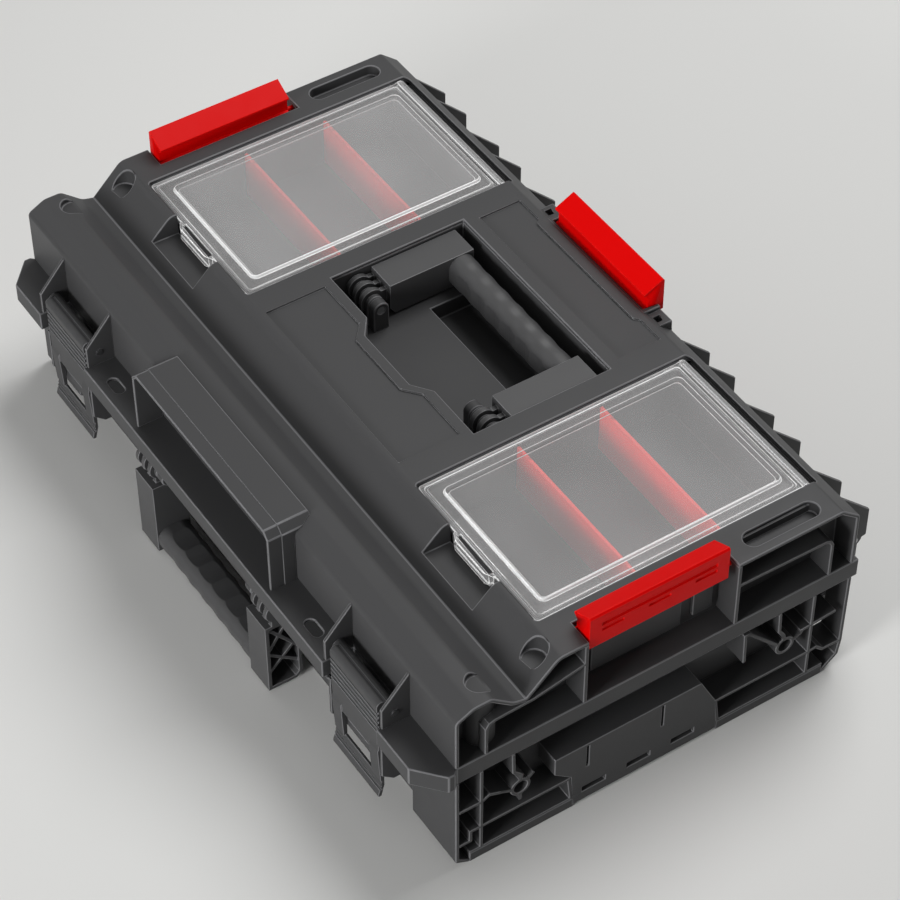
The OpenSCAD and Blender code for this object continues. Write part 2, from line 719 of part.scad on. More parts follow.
// A folding handle lying along local +Y with its outer face up; the pivot is the local origin
module handle_frame(reach) {
    outer = pivot_depth;
    inner = pivot_depth - handle_depth;
    both_sides() {
        difference() {
            // Arm, hollow on its outer side
            along_x(arm_in, handle_half) difference() {
                polygon([[arm_start, outer], [reach, outer], [reach, inner + 5], [reach - 5, inner],
                    [arm_start + 4, inner], [arm_start, inner + 6]]);
            }
            along_x(arm_in + wall, handle_half + 1) polygon([[arm_start + wall, outer - wall],
                [reach - wall, outer - wall], [reach - wall, inner + 6], [reach - 6, inner + wall],
                [arm_start + 5, inner + wall], [arm_start + wall, inner + 7]]);
        }
        // Crossed ribs in the hollow
        intersection() {
            along_x(arm_in + wall - eps, handle_half - 1.5)
                translate([arm_start, inner]) square([reach - arm_start, handle_depth]);
            along_x(arm_in + wall - eps, handle_half - 1.5) {
                mid = (arm_start + reach) / 2;
                rib_path([[arm_start + 1, outer - 1], [mid + 2, inner + 1]], rib_t);
                rib_path([[arm_start + 1, inner + 7], [mid - 4, outer - 1]], rib_t);
                rib_path([[mid - 4, outer - 1], [reach - 16, inner + 1]], rib_t);
                rib_path([[mid - 8, inner + 1], [mid + 18, outer - 1]], rib_t);
            }
        }
        // Knuckle rings
        for (i = [0 : ring_n - 1]) {
            x = arm_in + (i + 1) * ring_pitch - ring_t;
            difference() {
                along_x(x, x + ring_t) {
                    circle(knuckle_r);
                    translate([0, -knuckle_r + 4]) square([arm_start + 1, 2 * knuckle_r - 8]);
                }
                rotate([0, 90, 0]) cylinder(h = 200, r = handle_pin_r + bore_fit);
            }
        }
    }
    // Spine inside the grip
    block([-arm_in - eps, reach - grip_w + 5, inner + 7], [arm_in + eps, reach - 4, outer - 5]);
}

scallop_r = 60;
scallop_depth = 0.9;
scallop_pitch = 19;

// The grip that wraps the spine, round inside and flat along its far edge
module handle_grip(reach) difference() {
    outer = pivot_depth - 0.5;
    inner = pivot_depth - handle_depth + 0.5;
    along_x(-arm_in, arm_in) difference() {
        round_rect([reach - grip_w - 1, inner], [reach - 1, outer], grip_w / 2 - 1);
        translate([reach - grip_w + 5, inner + 6.5]) square([grip_w - 9, handle_depth - 12]);
    }
    // Hollows for the fingers along the inner edge
    for (i = [-2.5 : 1 : 2.5])
        translate([i * scallop_pitch, reach - grip_w - 1 - scallop_r + scallop_depth, 0])
        cylinder(h = 80, r = scallop_r, center = true);
}

module place_top() translate([0, top_pivot_y, top_pivot_z]) children();
// The front handle hangs: local +Y points down and its outer face looks forward
module place_front() translate([0, -front_pivot_y, front_pivot_z]) rotate([-90, 0, 0])
    mirror([0, 0, 1]) children();

module top_handle() color(handle_grey) place_top() handle_frame(top_reach);
module top_grip() color(plastic_dark) place_top() handle_grip(top_reach);
module front_handle() color(handle_grey) place_front() handle_frame(front_reach);
module front_grip() color(plastic_dark) place_front() handle_grip(front_reach);

tab_bulge = 5;

// A clear cover with a raised panel, a hinge roll and a front tab
module cover() {
    top = cover_seat_z + gap + cover_t;
    difference() {
        union() {
            translate([0, 0, cover_seat_z + gap]) linear_extrude(cover_t) difference() {
                round_rect([cover_in, -cover_front], [cover_out, roll_y], 3);
            }
            translate([0, 0, top - eps]) linear_extrude(panel_rise)
                round_rect([cover_in + cover_border, -cover_front + cover_border],
                    [cover_out - cover_border, roll_y - roll_r - cover_border * 0.6], 5);
            translate([cover_in, roll_y, roll_z]) rotate([0, 90, 0])
                cylinder(h = cover_out - cover_in, r = roll_r);
            // Tab: a lip that bulges forward
            translate([0, 0, cover_seat_z - 7.5]) linear_extrude(top - cover_seat_z + 7.2)
                polygon([[tab_x - tab_w / 2, -cover_front + 0.3], [tab_x - tab_w / 2, -cover_front - 1.5],
                    [tab_x - tab_w / 2 + 7, -cover_front - tab_bulge], [tab_x + tab_w / 2 - 7, -cover_front - tab_bulge],
                    [tab_x + tab_w / 2, -cover_front - 1.5], [tab_x + tab_w / 2, -cover_front + 0.3]]);
        }
        // Groove round the border
        translate([0, 0, top - 0.7]) linear_extrude(2) difference() {
            round_rect([cover_in + 3, -cover_front + 3], [cover_out - 3, roll_y - roll_r - 2], 3);
            round_rect([cover_in + 4.5, -cover_front + 4.5], [cover_out - 4.5, roll_y - roll_r - 3.5], 3);
        }
        translate([0, 0, cover_seat_z]) linear_extrude(gap + panel_rise)
            round_rect([cover_in + cover_border + cover_t, -cover_front + cover_border + cover_t],
                [cover_out - cover_border - cover_t, roll_y - roll_r - cover_border * 0.6 - cover_t], 4);
        // Window above the tab
        block([tab_x - tab_w / 2 + 4, -cover_front - 2.4, cover_seat_z - 8],
            [tab_x + tab_w / 2 - 4, -cover_front + 1.4, top + 1]);
        translate([0, roll_y, roll_z]) rotate([0, 90, 0])
            cylinder(h = 600, r = cover_pin_r + bore_fit);
    }
}

module cover_left() color(clear) mirror([1, 0, 0]) cover();
module cover_right() color(clear) cover();

module cover_pin() translate([cover_in - 2.8, roll_y, roll_z]) rotate([0, 90, 0])
    cylinder(h = cover_out - cover_in + 5.6, r = cover_pin_r);
module cover_pin_left() color(steel) mirror([1, 0, 0]) cover_pin();
module cover_pin_right() color(steel) cover_pin();

// A front latch: barrel, ribbed grip, band, two legs with a window, and a flared lip
module latch() {
    face_y = latch_pivot_y + 9.3;
    back_y = face_y - 4.5;
    x0 = latch_x - latch_w / 2;
    x1 = latch_x + latch_w / 2;
    leg_top_z = 77;
    lip_z = latch_bottom_z + 13.5;
    window_half = 17.5;
    difference() {
        union() {
            along_x(x0, x1) {
                // Ridge and grip
                translate([-face_y + 3.8, latch_pivot_z + 2.5]) circle(3.8);
                polygon([[-face_y, latch_pivot_z + 2.5], [-face_y, 95], [-face_y + 1, 70],
                    [-back_y, 70], [-back_y, latch_pivot_z - 4], [-latch_pivot_y, latch_pivot_z - 4],
                    [-latch_pivot_y, latch_pivot_z + 4], [-back_y, latch_pivot_z + 5.5]]);
                // Lip
                polygon([[-face_y + 2.4, lip_z + 3], [-face_y + 2.4, lip_z], [-face_y - 0.6, latch_bottom_z + 2],
                    [-face_y - 0.6, latch_bottom_z], [-face_y + 2, latch_bottom_z], [-back_y, lip_z - 3],
                    [-back_y, lip_z + 3]]);
            }
            for (s = [0, 1]) mirror_at(latch_x, s) along_x(x0, latch_x - window_half)
                polygon([[-face_y + 1, leg_top_z + 2], [-face_y - 0.2, leg_top_z - 1],
                    [-face_y + 1.4, lip_z + 2], [-back_y, lip_z + 2], [-back_y, leg_top_z + 2]]);
            barrel_half = gusset_gap / 2 - rib_t / 2 - gap;
            translate([latch_x - barrel_half, -latch_pivot_y, latch_pivot_z]) rotate([0, 90, 0])
                cylinder(h = 2 * barrel_half, r = latch_pin_r + 2.1);
        }
        // Grip grooves
        for (i = [0 : 4]) block([x0 - 1, -face_y - 1, 96.2 + i * 4.7], [x1 + 1, -face_y + 1.3, 97.9 + i * 4.7]);
        // Fine grooves above the lip
        for (i = [0 : 2]) block([x0 - 1, -face_y - 1, lip_z - 7 + i * 3.2],
            [x1 + 1, -face_y + 2.3 - i * 0.1, lip_z - 6 + i * 3.2]);
        translate([0, -latch_pivot_y, latch_pivot_z]) rotate([0, 90, 0])
            cylinder(h = 400, r = latch_pin_r + bore_fit);
    }
}

// Mirrors a child about the plane X = x when s is 1
module mirror_at(x, s) {
    if (s == 1) translate([2 * x, 0, 0]) mirror([1, 0, 0]) children();
    else children();
}

module latch_left() color(plastic) mirror([1, 0, 0]) latch();
module latch_right() color(plastic) latch();

module latch_pin() translate([latch_x - gusset_gap / 2 - rib_t / 2 - 0.8, -latch_pivot_y, latch_pivot_z])
    rotate([0, 90, 0]) cylinder(h = gusset_gap + rib_t + 1.6, r = latch_pin_r);
module latch_pin_left() color(steel) mirror([1, 0, 0]) latch_pin();
module latch_pin_right() color(steel) latch_pin();

// A stacking clip along local X from -clip_len / 2, u outward in local Y, pivot height at Z = 0
module clip() difference() {
    union() {
        along_x(-clip_len / 2, clip_len / 2) {
            polygon(clip_outline);
            translate(clip_bead) circle(3.2);
        }
        translate([-clip_len / 2, clip_pivot_u, 0]) rotate([0, 90, 0])
            cylinder(h = clip_len, r = clip_barrel_r);
    }
    translate([0, clip_pivot_u, 0]) rotate([0, 90, 0])
        cylinder(h = 400, r = clip_rod_r + bore_fit, center = true);
    // Long groove and three short ones on the outer face
    block([-clip_len / 2 + 10, clip_w - 1.2, clip_rise - 11.8], [clip_len / 2 - 10, clip_w + 1, clip_rise - 8.8]);
    for (i = [-1 : 1]) block([i * clip_len / 3 - 8.5, clip_w - 1.2, clip_rise - 17],
        [i * clip_len / 3 + 8.5, clip_w + 1, clip_rise - 14.6]);
}

module place_side_clip() translate([side_clip_u, clip_mid_y, clip_pivot_z]) rotate([0, 0, -90])
    children();
module clip_left() color(clip_red) mirror([1, 0, 0]) place_side_clip() clip();
module clip_right() color(clip_red) place_side_clip() clip();
module clip_rear() color(clip_red) translate([0, rear_clip_u, clip_pivot_z]) clip();

module side_clip_rod() translate([side_clip_u + clip_pivot_u, 0, clip_pivot_z]) rotate([-90, 0, 0])
    translate([0, 0, post_front_y - wall / 2 - 2])
        cylinder(h = post_back_y - post_front_y + wall + 4, r = clip_rod_r);
module clip_rod_left() color(clip_red) mirror([1, 0, 0]) side_clip_rod();
module clip_rod_right() color(clip_red) side_clip_rod();
module clip_rod_rear() color(clip_red) translate([-clip_len / 2 - 3, rear_clip_u + clip_pivot_u, clip_pivot_z])
    rotate([0, 90, 0]) cylinder(h = clip_len + 6, r = clip_rod_r);

// Base

rim_lip = 1;
rim_h = 6;

module base_tub() color(plastic) difference() {
    union() {
        translate([0, 0, tub_floor_z]) linear_extrude(rim_z - tub_floor_z)
            round_rect([-cell_wall_x, -tub_front], [cell_wall_x, tub_back], 10);
        translate([0, 0, rim_z - rim_h]) linear_extrude(rim_h)
            round_rect([-cell_wall_x - rim_lip, -tub_front - 2], [cell_wall_x + rim_lip, tub_back + 5], 10);
    }
    translate([0, 0, tub_floor_z + wall]) linear_extrude(100)
        round_rect([-cell_wall_x + wall, -tub_front + wall], [cell_wall_x - wall, tub_back - wall], 8);
    translate([0, 0, rim_z - 2.6]) linear_extrude(5) seal_ring(0.1);
}

// Plan of the seal under the lid's seal skirt, grown by g
module seal_ring(g) difference() {
    round_rect([-cell_wall_x - g, -tub_front - wall + 2 - g], [cell_wall_x + g, tub_back + wall - 1 + g], 9);
    round_rect([-cell_wall_x + 2.2 + g, -tub_front + 1.2 + g], [cell_wall_x - 2.2 - g, tub_back - 0.2 - g], 8);
}

module rim_seal() color(rubber) translate([0, 0, rim_z - 2.6]) linear_extrude(2.7) seal_ring(0);

foot_front = [-body_front + 11, -foot_front_end];
foot_back = [foot_back_end, body_back - 17];

// Hollow pads that run across the case under the tub
module base_feet() color(plastic) for (foot = [foot_front, foot_back]) difference() {
    along_x(-half_w, half_w) polygon([[foot[0], 0], [foot[1], 0], [foot[1], tub_floor_z], [foot[0], tub_floor_z]]);
    for (i = [-3 : 3]) let (pitch = body_w / 7) block([i * pitch - pitch / 2 + wall, foot[0] + wall, wall],
        [i * pitch + pitch / 2 - wall, foot[1] - wall, tub_floor_z + 1]);
}

front_upright = -body_front + 20.5;
rear_upright = body_back - 31.5;
ring_front = [front_upright + 31, 53.2];
ring_back = [rear_upright - 22.7, 54.2];
ring_out = 8;
ring_in = 5.4;

module side_ribs() {
    top = rim_z;
    front = -body_front + wall;
    // Front foot: upright, braces to the ring, and the rib over the foot
    rib_path([[front_upright, tub_floor_z], [front_upright, top]], rib_t);
    rib_path([[front, 59], [front_upright, 58.5], [front_upright + 6.5, 62], [front_upright + 14.5, 58.5],
        [ring_front[0] - 7, ring_front[1] + 1]], rib_t);
    rib_path([[ring_front[0], ring_front[1] + 7], [ring_front[0] + 1, ring_front[1] + 11.5],
        [ring_front[0] - 5.5, ring_front[1] + 19], [ring_front[0] - 6, top]], rib_t);
    rib_path([[ring_front[0] + 5.5, ring_front[1] + 5], [ring_front[0] + 10.5, ring_front[1] + 9]], rib_t);
    rib_path([[ring_front[0], ring_front[1] - 7], [ring_front[0], ring_front[1] - 14]], rib_t);
    rib_path([[front, 22.3], [front + 9, 22.3], [front + 9, foot_rib_z], [foot_front[1] - 4, foot_rib_z],
        [foot_front[1] - 1.3, tub_floor_z]], rib_t);
    // Rear foot
    rib_path([[foot_back[0] + 1.3, tub_floor_z], [foot_back[0] - 1.8, foot_rib_z], [rear_upright, foot_rib_z],
        [rear_upright + 7, foot_rib_z + 0.8], [rear_upright + 13, 27], [rear_upright + 28, 26.5]], rib_t);
    rib_path([[rear_upright, tub_floor_z], [rear_upright, top]], rib_t);
    rib_path([[rear_upright - 10, 61], [rear_upright + 21, 63]], rib_t);
    rib_path([[ring_back[0] - 1, ring_back[1] + 7], [ring_back[0] - 2, ring_back[1] + 12],
        [ring_back[0] - 6, ring_back[1] + 18], [ring_back[0] - 6.8, top]], rib_t);
    rib_path([[rear_upright - 58, 59], [rear_upright - 59, 87], [rear_upright - 55, 87],
        [ring_back[0] - 6.5, ring_back[1] + 4]], rib_t);
    rib_path([[ring_back[0] + 7, ring_back[1] + 2], [rear_upright - 9, 58.5], [rear_upright - 7.5, 61.5]], rib_t);
    ring(ring_front, ring_out, ring_in);
    ring(ring_back, ring_out, ring_in);
}

// Outline of the panel between the feet, clockwise in (y, z)
panel_bottom_z = tub_floor_z - 0.4;
side_panel = [[foot_front[1] - 16, ledge_z], [foot_back[0] - 15.5, ledge_z],
    [foot_back[0] - 2, foot_rib_z + 1.3], [foot_back[0], panel_bottom_z], [foot_front[1], panel_bottom_z],
    [foot_front[1] - 2.5, foot_rib_z + 1.3], [foot_front[1] - 16, foot_rib_z + 13]];
panel_t = 2.5;
panel_mid = (foot_front[1] + foot_back[0]) / 2;

module base_side() {
    difference() {
        union() {
            along_x(cell_wall_x, half_w) {
                side_ribs();
                // Ends of the feet, from the foot pads up to the tub's floor
                polygon([[foot_front[0], tub_floor_z], [foot_front[1], tub_floor_z],
                    [foot_front[1], tub_floor_z + 2], [foot_front[0], tub_floor_z + 2]]);
                polygon([[foot_back[0], tub_floor_z], [foot_back[1], tub_floor_z],
                    [foot_back[1], tub_floor_z + 2], [foot_back[0], tub_floor_z + 2]]);
            }
            // Rail between the feet
            block([cell_wall_x, foot_front[1], 2.2], [half_w, foot_back[0], panel_bottom_z]);
            // Panel in the middle, a box that is open towards the tub
            difference() {
                along_x(cell_wall_x, half_w) polygon(side_panel);
                along_x(cell_wall_x - 1, half_w - panel_t) polygon(inset_loop(side_panel, panel_t));
            }
        }
        // Slots and slits in the panel
        for (i = [-1 : 1]) translate([0, panel_mid - 6 + i * 37.2, panel_bottom_z + panel_t])
            block([half_w - panel_t - 1, -9.7, 0], [half_w + 1, 9.7, 4.9]);
        for (y = [panel_mid - 49.2, panel_mid + 12.8]) block([half_w - panel_t - 1, y - 0.9, ledge_z - 24],
            [half_w + 1, y + 0.9, ledge_z - panel_t]);
        // The sides end on the tub's rim
        block([cell_wall_x - 1, -body_front, rim_z - rim_h], [cell_wall_x + rim_lip, body_back, rim_z + 1]);
    }
    // Corner post at the rear, behind the foot
    difference() {
        along_x(cell_wall_x, half_w) rib_path([[foot_back[1] - 1, 1.5], [body_back - 4.5, 13],
            [body_back - 2.5, 26], [body_back - wall / 2, rim_z]], wall);
        block([0, foot_back[0], -1], [half_w + 1, foot_back[1], tub_floor_z]);
        block([cell_wall_x - 1, tub_back, rim_z - rim_h], [cell_wall_x + rim_lip, body_back, rim_z + 1]);
    }
}

module base_side_left() color(plastic) mirror([1, 0, 0]) base_side();
module base_side_right() color(plastic) base_side();

bay_x = latch_x + gusset_gap / 2 + rib_t / 2;
front_skin_z = 6;
cheek_y = -tub_front - 20;

module base_front() color(plastic) {
    both_sides() {
        // Outer front panel with a bevelled foot, joined to the foot pad
        along_x(bay_x, half_w) polygon([[-body_front, front_skin_z], [-body_front, rim_z],
            [-body_front + wall, rim_z], [-body_front + wall, front_skin_z + 2],
            [foot_front[0], 2.6], [foot_front[0], 0]]);
        along_x(bay_x, bay_x + wall) polygon([[-body_front + wall, front_skin_z + 2], [-body_front + wall, rim_z],
            [-tub_front - 2, rim_z], [-tub_front - 2, rim_z - 6], [-tub_front, rim_z - 6],
            [-tub_front, tub_floor_z], [foot_front[0], tub_floor_z], [foot_front[0], 2.6]]);
        // Cheek beside the front handle
        along_x(handle_half + 5, handle_half + 5 + rib_t)
            polygon([[-tub_front, 14], [-tub_front, rim_z - rim_h], [cheek_y, rim_z - rim_h],
                [cheek_y, 40], [cheek_y + 8, 22]]);
    }
    // Shelf under the lid's flange
    both_sides() block([handle_half + 5, -body_front, rim_z - 3], [bay_x, -tub_front - 2, rim_z]);
}

ear_in = gusset_gap / 2 - rib_t / 2 - 0.5;

module base_catches() color(plastic) both_sides() {
    for (s = [0, 1]) mirror_at(latch_x, s)
        along_x(latch_x - ear_in, latch_x - ear_in + rib_t) polygon([[-tub_front, 46], [-tub_front, rim_z - 6],
            [-tub_front - 2, rim_z - 6], [-tub_front - 2, rim_z - 3], [-body_front, rim_z - 3],
            [-latch_pivot_y - 9, rim_z - 1], [-latch_pivot_y - 9, 54], [-latch_pivot_y, 46]]);
    // Catch bar behind the latch's window
    block([latch_x - ear_in + rib_t, -latch_pivot_y - 4.4, 52], [latch_x + ear_in - rib_t, -latch_pivot_y + 1, 60]);
}

module front_handle_brackets() color(plastic) both_sides()
    translate([0, -front_pivot_y, front_pivot_z])
        bracket_plates([[0, plate_r], [front_pivot_y - tub_front - 2, plate_r],
            [front_pivot_y - tub_front - 2, rim_z - 6 - front_pivot_z],
            [front_pivot_y - tub_front, rim_z - 6 - front_pivot_z],
            [front_pivot_y - tub_front, -knuckle_r - 8], [0, -plate_r]]);

rear_rib_x = [24, 60, (hinge_stations[0] + hinge_stations[1]) / 2, (hinge_stations[1] + hinge_stations[2]) / 2];

module base_rear() color(plastic) {
    rear_path = [[tub_back, tub_floor_z], [body_back - 6.5, 13], [body_back - 2.5, 26],
        [body_back, rim_z - 6], [tub_back, rim_z - 6]];
    both_sides() {
        for (x = rear_rib_x) along_x(x - rib_t / 2, x + rib_t / 2) polygon(rear_path);
        // Knuckles between the lid's hinge ears
        for (station = hinge_stations) translate([station, 0, 0]) difference() {
            along_x(-knuckle_w / 2, knuckle_w / 2) {
                translate([hinge_y, hinge_z]) circle(hinge_knuckle_r);
                polygon([[hinge_y + hinge_knuckle_r, hinge_z], [hinge_y + hinge_knuckle_r, 66],
                    [tub_back + 10, 40], [tub_back, 40], [tub_back, rim_z - 6], [tub_back + 5, rim_z - 6],
                    [tub_back + 5, rim_z - 4], [hinge_y - hinge_knuckle_r, rim_z - 2], [hinge_y - hinge_knuckle_r, hinge_z]]);
            }
            for (s = [0, 1]) mirror([s, 0, 0]) block([1.6, tub_back + 3, 30], [knuckle_w / 2 - 3, hinge_y + 4.5, rim_z - 8]);
            translate([0, hinge_y, hinge_z]) rotate([0, 90, 0])
                cylinder(h = 100, r = hinge_pin_r + bore_fit, center = true);
        }
    }
    // Belt rib along the rear
    block([-cell_wall_x, tub_back, 56], [cell_wall_x, tub_back + 9, 56 + rib_t]);
}

module hinge_pin() translate([hinge_stations[0] - ear_spread - rib_t, hinge_y, hinge_z]) rotate([0, 90, 0])
    cylinder(h = hinge_stations[2] - hinge_stations[0] + 2 * (ear_spread + rib_t), r = hinge_pin_r);
module hinge_pin_left() color(steel) mirror([1, 0, 0]) hinge_pin();
module hinge_pin_right() color(steel) hinge_pin();

base_tub();
base_feet();
base_side_left();
base_side_right();
base_front();
base_catches();
base_rear();
front_handle_brackets();
rim_seal();
hinge_pin_left();
hinge_pin_right();
front_handle_pins();
lid_shell();
lid_flange();
lid_side_left();
lid_side_right();
lid_hood();
lid_gussets();
lid_hinge_ears();
rear_clip_brackets();
bin_left();
bin_right();
handle_well();
top_handle_brackets();
top_handle_pins();
latch_pin_left();
latch_pin_right();
clip_rod_left();
clip_rod_right();
clip_rod_rear();
cover_pin_left();
cover_pin_right();
divider_left_front();
divider_left_rear();
divider_right_front();
divider_right_rear();
front_handle();
front_grip();
top_handle();
top_grip();
latch_left();
latch_right();
cover_left();
cover_right();
clip_left();
clip_right();
clip_rear();
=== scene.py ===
"""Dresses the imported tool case: rounded mouldings, clear covers, steel pins and a small studio."""

import json
import math

import bmesh
import bpy
from bpy.props import FloatProperty, FloatVectorProperty, PointerProperty
from mathutils import Matrix, Vector
from mathutils.bvhtree import BVHTree

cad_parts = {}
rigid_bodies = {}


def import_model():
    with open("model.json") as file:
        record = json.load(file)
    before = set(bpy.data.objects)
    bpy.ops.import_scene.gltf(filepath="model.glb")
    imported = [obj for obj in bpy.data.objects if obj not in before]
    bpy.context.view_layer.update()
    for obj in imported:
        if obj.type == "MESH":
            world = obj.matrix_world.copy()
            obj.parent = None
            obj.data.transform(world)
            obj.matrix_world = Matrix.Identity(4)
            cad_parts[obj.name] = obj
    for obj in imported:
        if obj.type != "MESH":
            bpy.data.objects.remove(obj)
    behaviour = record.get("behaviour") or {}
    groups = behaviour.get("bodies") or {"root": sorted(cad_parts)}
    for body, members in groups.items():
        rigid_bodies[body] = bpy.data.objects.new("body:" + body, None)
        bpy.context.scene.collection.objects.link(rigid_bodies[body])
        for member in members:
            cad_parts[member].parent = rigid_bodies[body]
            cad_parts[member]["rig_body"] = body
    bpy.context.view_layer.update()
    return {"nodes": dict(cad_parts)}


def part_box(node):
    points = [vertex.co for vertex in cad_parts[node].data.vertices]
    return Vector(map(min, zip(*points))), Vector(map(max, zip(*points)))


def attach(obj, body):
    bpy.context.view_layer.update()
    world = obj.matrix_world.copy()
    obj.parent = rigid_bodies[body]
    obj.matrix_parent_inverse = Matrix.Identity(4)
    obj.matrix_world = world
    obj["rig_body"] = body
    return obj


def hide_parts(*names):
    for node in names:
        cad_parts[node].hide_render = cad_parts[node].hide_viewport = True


bl_info = {
    "name": "Tool case",
    "version": (1, 0, 0),
    "blender": (4, 5, 0),
    "location": "3D View > Sidebar > Tool case",
    "description": "Finishes a stackable tool case and sets it in a studio",
    "category": "Object",
}

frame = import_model()
MM = 0.001
SHARP_ANGLE = math.radians(28)
# Faces that meet at less than this are one flat face of the moulding
FLAT_ANGLE = math.radians(0.6)
# Points closer than this are one point
WELD = 0.002 * MM
# A rounding needs this many times its width of face behind it
ROOM = 2.15
# Rounding of the edges that have no room for the wide one
NARROW_EDGE = 0.25 * MM
# A corner may leave the moulding by this share of the rounding's width
STRAY = 0.75
# Two edges whose directions agree this well run on in one line
IN_LINE = math.cos(math.radians(35))
LAMP_AIM = Vector((0, 0, 0.1))
CAMERA_AIM = Vector((35.36, -2.02, 90)) * MM
# Height up to which a cover's wall counts as its edge and gets its painted highlight
LOW_WALL = 2.6 * MM
# A face looks up when its normal rises more than this, and is upright when less than the other
FACING_UP = 0.7
UPRIGHT = 0.6
# A cut that passes a point closer than this goes through it
TOUCHING = 0.001 * MM
# An edge counts as lying behind another only when it is further in than this
CLEAR_OF_EDGE = 0.01 * MM
# Brightness of the pale wall that the camera sees behind the floor
WALL_STRENGTH = 0.85

BASE_NODES = ("base_tub", "base_feet", "base_side_left", "base_side_right", "base_front",
              "base_catches", "base_rear", "front_handle_brackets")
LID_NODES = ("lid_shell", "lid_flange", "lid_side_left", "lid_side_right", "lid_hood",
             "lid_gussets", "lid_hinge_ears", "rear_clip_brackets", "bin_left", "bin_right",
             "handle_well", "top_handle_brackets")
RIB_NODES = ("base_side_left", "base_side_right", "base_rear", "lid_side_left", "lid_side_right",
             "lid_gussets", "lid_hinge_ears", "base_catches")
PIN_NODES = ("hinge_pin_left", "hinge_pin_right", "front_handle_pins", "top_handle_pins",
             "latch_pin_left", "latch_pin_right", "cover_pin_left", "cover_pin_right")
ROD_NODES = ("clip_rod_left", "clip_rod_right", "clip_rod_rear")
DIVIDER_NODES = ("divider_left_front", "divider_left_rear", "divider_right_front",
                 "divider_right_rear")


# Helpers


def linear(hex_colour):
    """Linear RGBA from an sRGB hex colour such as #505052."""
    channels = [int(hex_colour[i:i + 2], 16) / 255 for i in (1, 3, 5)]
    return [c / 12.92 if c <= 0.04045 else ((c + 0.055) / 1.055) ** 2.4 for c in channels] + [1.0]


def body_with(node):
    """Name of the body that a CAD node belongs to."""
    return frame["nodes"][node]["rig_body"]


def add_node(material, kind, links=(), **settings):
    """Adds one shader node to a material or world. settings hold its own options and, by number or
    name, its input values."""
    node = material.node_tree.nodes.new(kind)
    for name, value in settings.items():
        if name == "inputs":
            for key, number in value.items():
                node.inputs[key].default_value = number
        else:
            setattr(node, name, value)
    for socket, source in links:
        material.node_tree.links.new(source, node.inputs[socket])
    return node


def new_material(name):
    """An empty node material and its output node."""
    material = bpy.data.materials.new(name)
    material.use_nodes = True
    material.node_tree.nodes.clear()
    return material, material.node_tree.nodes.new("ShaderNodeOutputMaterial")


def is_sharp(edge):
    """True for a closed edge that bends enough to be seen as an edge."""
    return edge.is_manifold and edge.calc_face_angle() > SHARP_ANGLE


def depth_behind(loop):
    """How far a face reaches inwards from one of its edges before its next sharp edge."""
    start, end = loop.vert.co, loop.link_loop_next.vert.co
    along = (end - start).normalized()
    inward = loop.face.normal.cross(along)
    nearest = math.inf
    for other in loop.face.edges:
        if other is loop.edge or not is_sharp(other):
            continue
        low, high = (vert.co - start for vert in other.verts)
        if loop.vert in other.verts or loop.link_loop_next.vert in other.verts:
            side = (high - low).normalized()
            if abs(side.dot(along)) < IN_LINE:
                nearest = min(nearest, other.calc_length())
            continue
        for share in (0.05, 0.5, 0.95):
            spot = along.dot(end - start) * share
            a, b = along.dot(low) - spot, along.dot(high) - spot
            if a * b < 0:
                hit = inward.dot(low) + (inward.dot(high) - inward.dot(low)) * a / (a - b)
                if hit > CLEAR_OF_EDGE:
                    nearest = min(nearest, hit)
    return nearest


def round_edges(bm, width, segments, mark):
    """Rounds the sharp edges that have room for it on both sides, and marks the new faces for the
    painted highlight.
    """
    edges = [edge for edge in bm.edges if is_sharp(edge)
             and not any(face[mark] for face in edge.link_faces)
             and min(depth_behind(loop) for loop in edge.link_loops) > ROOM * width]
    made = bmesh.ops.bevel(bm, geom=edges, offset=width, offset_type="OFFSET", segments=segments,
                           profile=0.5, affect="EDGES", material=-1, clamp_overlap=False)
    for face in made["faces"]:
        face[mark] = 1.0


def looks_up(face):
    """True for the top faces of a divider, which get a painted highlight."""
    return face.normal.z > FACING_UP


def is_low_wall(face):
    """True for a cover's low upright walls, which get the painted highlight of the cover's edges.
    The tab's tall wall stays clear."""
    heights = [vert.co.z for vert in face.verts]
    return abs(face.normal.z) < UPRIGHT and max(heights) - min(heights) < LOW_WALL


def settle_order(bm):
    """Puts points, edges and faces in the order of their place. The narrow rounding and the
    triangulation give faces back in an order that varies from run to run, and the evened normals
    depend on it."""
    for i, vert in enumerate(sorted(bm.verts, key=lambda vert: tuple(vert.co))):
        vert.index = i
    bm.verts.sort()
    for sequence in (bm.edges, bm.faces):
        ranked = sorted(sequence, key=lambda part: sorted(vert.index for vert in part.verts))
        for i, part in enumerate(ranked):
            part.index = i
        sequence.sort()


